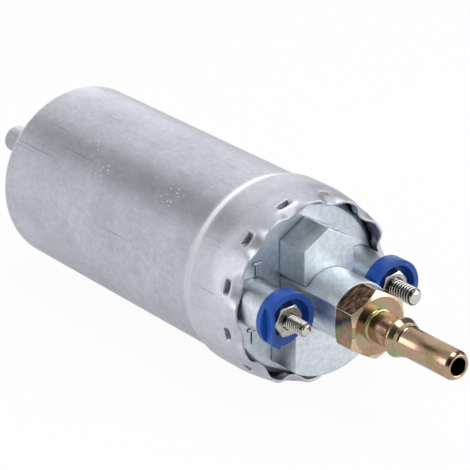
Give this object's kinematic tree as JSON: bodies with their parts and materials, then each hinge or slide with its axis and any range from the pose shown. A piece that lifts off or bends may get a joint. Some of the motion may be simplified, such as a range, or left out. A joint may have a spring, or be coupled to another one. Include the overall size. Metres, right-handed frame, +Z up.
{
  "type": "inline electric fuel pump",
  "caption": "Cylindrical inline electric fuel pump with a crimped can, die-cast end cap, insulated stud terminals and beaded tube fittings for quick connectors.",
  "frame": {"origin": "on the pump axis, halfway along the plain part of the can", "axes": "+X along the pump axis towards the outlet; +Z up, towards the hexagonal tower; the positive terminal is at +Y"},
  "size_m": [0.2034, 0.0542, 0.0542],
  "materials": {
    "can": "satin drawn",
    "cover": "turned",
    "cast": "as cast",
    "yellow_zinc": "yellow zinc plated",
    "nickel": "nickel plated",
    "steel": "machined",
    "sintered": "sintered",
    "spring_steel": "drawn wire",
    "bronze": "sintered bronze",
    "brass": "rolled",
    "copper": "copper",
    "ferrite": "ground ferrite",
    "carbon": "carbon",
    "phenolic": "moulded",
    "holder_plastic": "moulded",
    "blue_plastic": "moulded",
    "rubber": "moulded",
    "washer_white": "moulded"
  },
  "bodies": {
    "pump": {"housing_shell": "can", "inlet_cover": "cover", "inlet_seal": "rubber", "pump_ring": "sintered", "pump_plate": "cover", "rear_bush": "bronze", "stack_screws": "steel", "relief_spring": "spring_steel", "motor_tube": "steel", "magnet_upper": "ferrite", "magnet_lower": "ferrite", "magnet_clips": "spring_steel", "brush_holder": "holder_plastic", "front_bush": "bronze", "brush_guide_plus": "brass", "brush_guide_minus": "brass", "brush_spring_plus": "spring_steel", "brush_spring_minus": "spring_steel", "strap_plus": "copper", "strap_minus": "copper", "end_cap": "cast", "end_cap_seal": "rubber", "bushing_plus": "blue_plastic", "bushing_minus": "blue_plastic", "stud_plus": "nickel", "stud_minus": "nickel", "insulator_plus": "blue_plastic", "insulator_minus": "blue_plastic", "nut_plus": "nickel", "nut_minus": "nickel", "sealing_washer": "copper", "outlet_fitting": "yellow_zinc", "check_seat": "brass", "check_spring": "spring_steel"},
    "rotor": {"armature_shaft": "steel", "armature_core": "steel", "armature_windings": "copper", "commutator_hub": "phenolic", "commutator_bars": "copper", "thrust_washers": "washer_white", "inner_rotor": "sintered"},
    "outer_rotor": {"outer_rotor": "sintered"},
    "brush_plus": {"brush_plus": "carbon"},
    "brush_minus": {"brush_minus": "carbon"},
    "check_poppet": {"check_poppet": "rubber"},
    "relief_ball": {"relief_ball": "steel"}
  },
  "joints": [
    {"name": "rotor_spin", "type": "hinge", "parent": "pump", "child": "rotor", "pos_m": [0, 0, 0], "axis": [1, 0, 0], "continuous": true},
    {"name": "outer_rotor_spin", "type": "hinge", "parent": "pump", "child": "outer_rotor", "pos_m": [-0.0326, 0, 0.0012], "axis": [1, 0, 0], "continuous": true},
    {"name": "brush_plus_slide", "type": "slide", "parent": "pump", "child": "brush_plus", "axis": [0, 1, 0], "range_m": [0, 0.001], "stiffness_N_per_m": 100, "springref_m": -0.006, "deforming": ["brush_spring_plus"]},
    {"name": "brush_minus_slide", "type": "slide", "parent": "pump", "child": "brush_minus", "axis": [0, -1, 0], "range_m": [0, 0.001], "stiffness_N_per_m": 100, "springref_m": -0.006, "deforming": ["brush_spring_minus"]},
    {"name": "check_valve_lift", "type": "slide", "parent": "pump", "child": "check_poppet", "axis": [1, 0, 0], "range_m": [0, 0.002], "stiffness_N_per_m": 40, "springref_m": -0.006, "deforming": ["check_spring"]},
    {"name": "relief_valve_lift", "type": "slide", "parent": "pump", "child": "relief_ball", "axis": [-1, 0, 0], "range_m": [0, 0.0012], "stiffness_N_per_m": 200, "springref_m": -0.01, "deforming": ["relief_spring"]}
  ],
  "couplings": [
    {"joint": "outer_rotor_spin", "follows": "rotor_spin", "ratio": 0.85714}
  ]
}
